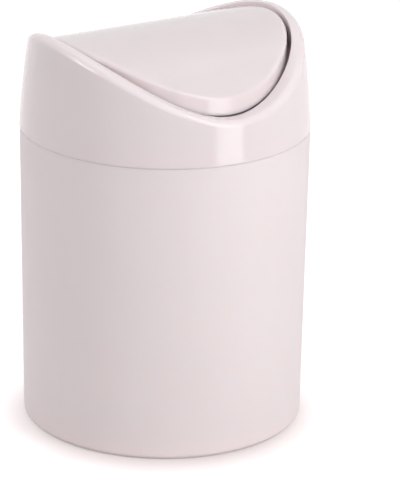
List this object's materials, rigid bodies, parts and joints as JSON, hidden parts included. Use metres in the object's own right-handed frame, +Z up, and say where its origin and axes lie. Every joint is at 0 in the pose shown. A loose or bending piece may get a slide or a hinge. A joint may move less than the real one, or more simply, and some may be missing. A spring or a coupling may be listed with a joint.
{
  "type": "countertop trash can with swing lid",
  "caption": "Round countertop trash can in moulded plastic: a cup-shaped bucket, a lift-off hood with a saddle-shaped rim between its ears, and a dished flap that swings inside it",
  "frame": {"origin": "on the table, under the middle of the base", "axes": "+Z is up through the middle of the can, the flap turns about a line along X through the two ears of the hood, and -Y is the front; the can is the same front and back, but at rest the flap hangs with its front 4 degrees up"},
  "size_m": [0.1306, 0.1304, 0.1836],
  "materials": {
    "satin_plastic": "satin",
    "gloss_plastic": "gloss",
    "flap_plastic": "gloss"
  },
  "bodies": {
    "bucket_body": {"bucket": "satin_plastic"},
    "hood_body": {"hood": "gloss_plastic"},
    "flap_body": {"swing_flap": "flap_plastic"}
  },
  "joints": [
    {"name": "hood_lift", "type": "slide", "parent": "bucket_body", "child": "hood_body", "axis": [0, 0, 1], "range_m": [0, 0.08]},
    {"name": "flap_swing", "type": "hinge", "parent": "hood_body", "child": "flap_body", "pos_m": [0, 0, 0.1745], "axis": [1, 0, 0], "range_deg": [-90, 90]}
  ]
}
